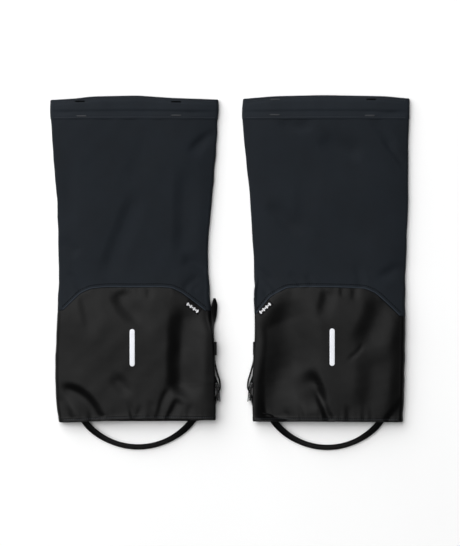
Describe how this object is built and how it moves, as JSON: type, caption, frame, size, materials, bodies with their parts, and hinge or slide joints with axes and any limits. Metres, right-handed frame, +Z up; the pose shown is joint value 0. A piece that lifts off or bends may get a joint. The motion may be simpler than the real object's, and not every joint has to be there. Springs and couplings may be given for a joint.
{
  "type": "gaiter pair",
  "caption": "Pair of full-length hiking gaiters: fabric tubes that close behind with hook-and-loop tape, with an underfoot strap and pin buckle.",
  "frame": {"origin": "middle of the pair's outline, on the surface that the gaiters lie on", "axes": "+Y from the boot end to the calf end, +Z up from the gaiters' backs to their fronts, +X from the left gaiter to the right gaiter"},
  "size_m": [0.479, 0.4744, 0.0194],
  "materials": {
    "upper_fabric": "matte woven face, dark navy grey",
    "casing_fabric": "matte woven face, folded casing",
    "boot_fabric": "coated, satin black",
    "piping": "matte bound edge",
    "elastic": "knitted elastic",
    "reflective": "silver-white reflective film",
    "label": "woven label with a plain pattern",
    "webbing": "flat woven webbing",
    "hook_tape": "nylon hooks",
    "loop_tape": "brushed nylon loops",
    "strap_tpu": "satin moulded elastomer",
    "buckle_plastic": "moulded black",
    "snap_metal": "black oxide",
    "steel": "bent steel wire and strip"
  },
  "bodies": {
    "left_gaiter": {"left_upper_panel": "upper_fabric", "left_boot_panel": "boot_fabric", "left_arch_piping": "piping", "left_top_casing": "casing_fabric", "left_top_elastic": "elastic", "left_boot_hem": "boot_fabric", "left_hem_elastic": "elastic", "left_reflective_strip": "reflective", "left_woven_label": "label", "left_strap_fixed_end": "strap_tpu", "left_strap_anchor": "webbing", "left_strap_tail": "strap_tpu", "left_buckle_loop": "webbing", "left_tail_keeper": "webbing", "left_hook_loop": "webbing"},
    "left_flap": {"left_flap_upper": "upper_fabric", "left_flap_lower": "boot_fabric", "left_hook_tape": "hook_tape", "left_snap_cap_top": "snap_metal", "left_snap_cap_bottom": "snap_metal"},
    "left_underlap": {"left_underlap_upper": "upper_fabric", "left_underlap_lower": "boot_fabric", "left_loop_tape": "loop_tape", "left_snap_stud_top": "snap_metal", "left_snap_stud_bottom": "snap_metal"},
    "left_strap": {"left_underfoot_strap": "strap_tpu"},
    "left_buckle": {"left_buckle_frame": "buckle_plastic"},
    "left_buckle_pin": {"left_buckle_pin": "steel"},
    "left_lace_hook": {"left_lace_hook": "steel"},
    "right_gaiter": {"right_upper_panel": "upper_fabric", "right_boot_panel": "boot_fabric", "right_arch_piping": "piping", "right_top_casing": "casing_fabric", "right_top_elastic": "elastic", "right_boot_hem": "boot_fabric", "right_hem_elastic": "elastic", "right_reflective_strip": "reflective", "right_woven_label": "label", "right_strap_fixed_end": "strap_tpu", "right_strap_anchor": "webbing", "right_strap_tail": "strap_tpu", "right_buckle_loop": "webbing", "right_tail_keeper": "webbing", "right_hook_loop": "webbing"},
    "right_flap": {"right_flap_upper": "upper_fabric", "right_flap_lower": "boot_fabric", "right_hook_tape": "hook_tape", "right_snap_cap_top": "snap_metal", "right_snap_cap_bottom": "snap_metal"},
    "right_underlap": {"right_underlap_upper": "upper_fabric", "right_underlap_lower": "boot_fabric", "right_loop_tape": "loop_tape", "right_snap_stud_top": "snap_metal", "right_snap_stud_bottom": "snap_metal"},
    "right_strap": {"right_underfoot_strap": "strap_tpu"},
    "right_buckle": {"right_buckle_frame": "buckle_plastic"},
    "right_buckle_pin": {"right_buckle_pin": "steel"},
    "right_lace_hook": {"right_lace_hook": "steel"}
  },
  "joints": [
    {"name": "left_flap_open", "type": "hinge", "parent": "left_gaiter", "child": "left_flap", "pos_m": [-0.21605, 0.016, 0], "axis": [0, 1, 0], "range_deg": [0, 130]},
    {"name": "left_underlap_open", "type": "hinge", "parent": "left_gaiter", "child": "left_underlap", "pos_m": [-0.04865, 0.016, 0], "axis": [0, 1, 0], "range_deg": [-65, 0]},
    {"name": "left_strap_swing", "type": "hinge", "parent": "left_gaiter", "child": "left_strap", "pos_m": [-0.12425, -0.2055, 0.00685], "axis": [-1, 0, 0], "range_deg": [-60, 60]},
    {"name": "left_buckle_tilt", "type": "hinge", "parent": "left_gaiter", "child": "left_buckle", "pos_m": [-0.0178, -0.1515, 0.0079], "axis": [0, 0, 1], "range_deg": [0, 20]},
    {"name": "left_pin_lift", "type": "hinge", "parent": "left_buckle", "child": "left_buckle_pin", "pos_m": [-0.0178, -0.1515, 0.0079], "axis": [0, 0, 1], "range_deg": [0, 40]},
    {"name": "left_hook_turn", "type": "hinge", "parent": "left_gaiter", "child": "left_lace_hook", "pos_m": [-0.12835, -0.186, 0.0076], "axis": [1, 0, 0], "range_deg": [-4, 12]},
    {"name": "right_flap_open", "type": "hinge", "parent": "right_gaiter", "child": "right_flap", "pos_m": [0.21605, 0.016, 0], "axis": [0, -1, 0], "range_deg": [0, 130]},
    {"name": "right_underlap_open", "type": "hinge", "parent": "right_gaiter", "child": "right_underlap", "pos_m": [0.04865, 0.016, 0], "axis": [0, -1, 0], "range_deg": [-65, 0]},
    {"name": "right_strap_swing", "type": "hinge", "parent": "right_gaiter", "child": "right_strap", "pos_m": [0.12925, -0.2055, 0.00685], "axis": [-1, 0, 0], "range_deg": [-60, 60]},
    {"name": "right_buckle_tilt", "type": "hinge", "parent": "right_gaiter", "child": "right_buckle", "pos_m": [0.02828, -0.1515, 0.0079], "axis": [0, 0, -1], "range_deg": [0, 20]},
    {"name": "right_pin_lift", "type": "hinge", "parent": "right_buckle", "child": "right_buckle_pin", "pos_m": [0.02828, -0.1515, 0.0079], "axis": [0, 0, -1], "range_deg": [0, 40]},
    {"name": "right_hook_turn", "type": "hinge", "parent": "right_gaiter", "child": "right_lace_hook", "pos_m": [0.12835, -0.186, 0.0076], "axis": [1, 0, 0], "range_deg": [-4, 12]},
    {"name": "right_gaiter_lift", "type": "slide", "parent": "left_gaiter", "child": "right_gaiter", "axis": [0, 0, 1], "range_m": [0, 0.3]}
  ],
  "couplings": [
    {"joint": "left_underlap_open", "follows": "left_flap_open", "ratio": -0.5},
    {"joint": "right_underlap_open", "follows": "right_flap_open", "ratio": -0.5}
  ]
}
